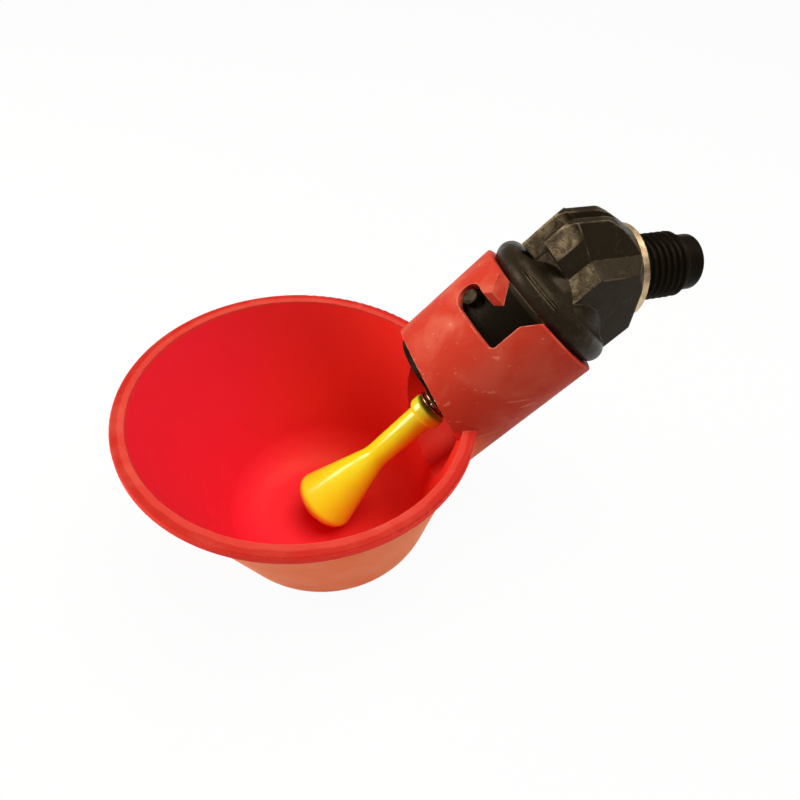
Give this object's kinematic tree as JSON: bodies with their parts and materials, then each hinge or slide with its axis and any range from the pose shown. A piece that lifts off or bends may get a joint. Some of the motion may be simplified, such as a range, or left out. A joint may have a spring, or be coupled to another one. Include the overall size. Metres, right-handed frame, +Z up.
{
  "type": "poultry drinker",
  "caption": "Drinking cup on a slanting bayonet socket, hung from a threaded elbow whose spring-loaded tilting valve opens when a bird pushes the trigger in the cup",
  "frame": {"origin": "on the supply thread's axis, in the plane where the sealing washer meets the supply fitting", "axes": "+X leaves along the supply thread towards the fitting, +Z is up, and the XZ plane is the plane of symmetry that holds both the thread's and the socket's axis"},
  "size_m": [0.1231, 0.075, 0.0814],
  "materials": {
    "red_plastic": "satin moulded, scuffed",
    "black_plastic": "satin moulded, fine scratches",
    "washer_metal": "plain",
    "seat_plastic": "moulded",
    "seal_rubber": "plain",
    "pin_steel": "turned",
    "spring_steel": "drawn wire",
    "yellow_plastic": "glossy moulded"
  },
  "bodies": {
    "elbow": {"valve_body": "black_plastic", "sealing_washer": "washer_metal", "valve_seat": "seat_plastic", "return_spring": "spring_steel"},
    "cup": {"bowl": "red_plastic"},
    "paddle": {"trigger": "yellow_plastic", "valve_pin": "pin_steel", "valve_seal": "seal_rubber"}
  },
  "joints": [
    {"name": "cup_twist", "type": "hinge", "parent": "elbow", "child": "cup", "pos_m": [-0.01724, 0, -0.00749], "axis": [-0.7071, 0, -0.7071], "range_deg": [0, 35]},
    {"name": "trigger_tilt", "type": "hinge", "parent": "elbow", "child": "paddle", "pos_m": [-0.02684, 0, -0.02374], "axis": [0, 1, 0], "range_deg": [0, 8], "stiffness_Nm_per_rad": 0.18, "springref_deg": -2.86, "deforming": ["return_spring"]}
  ]
}
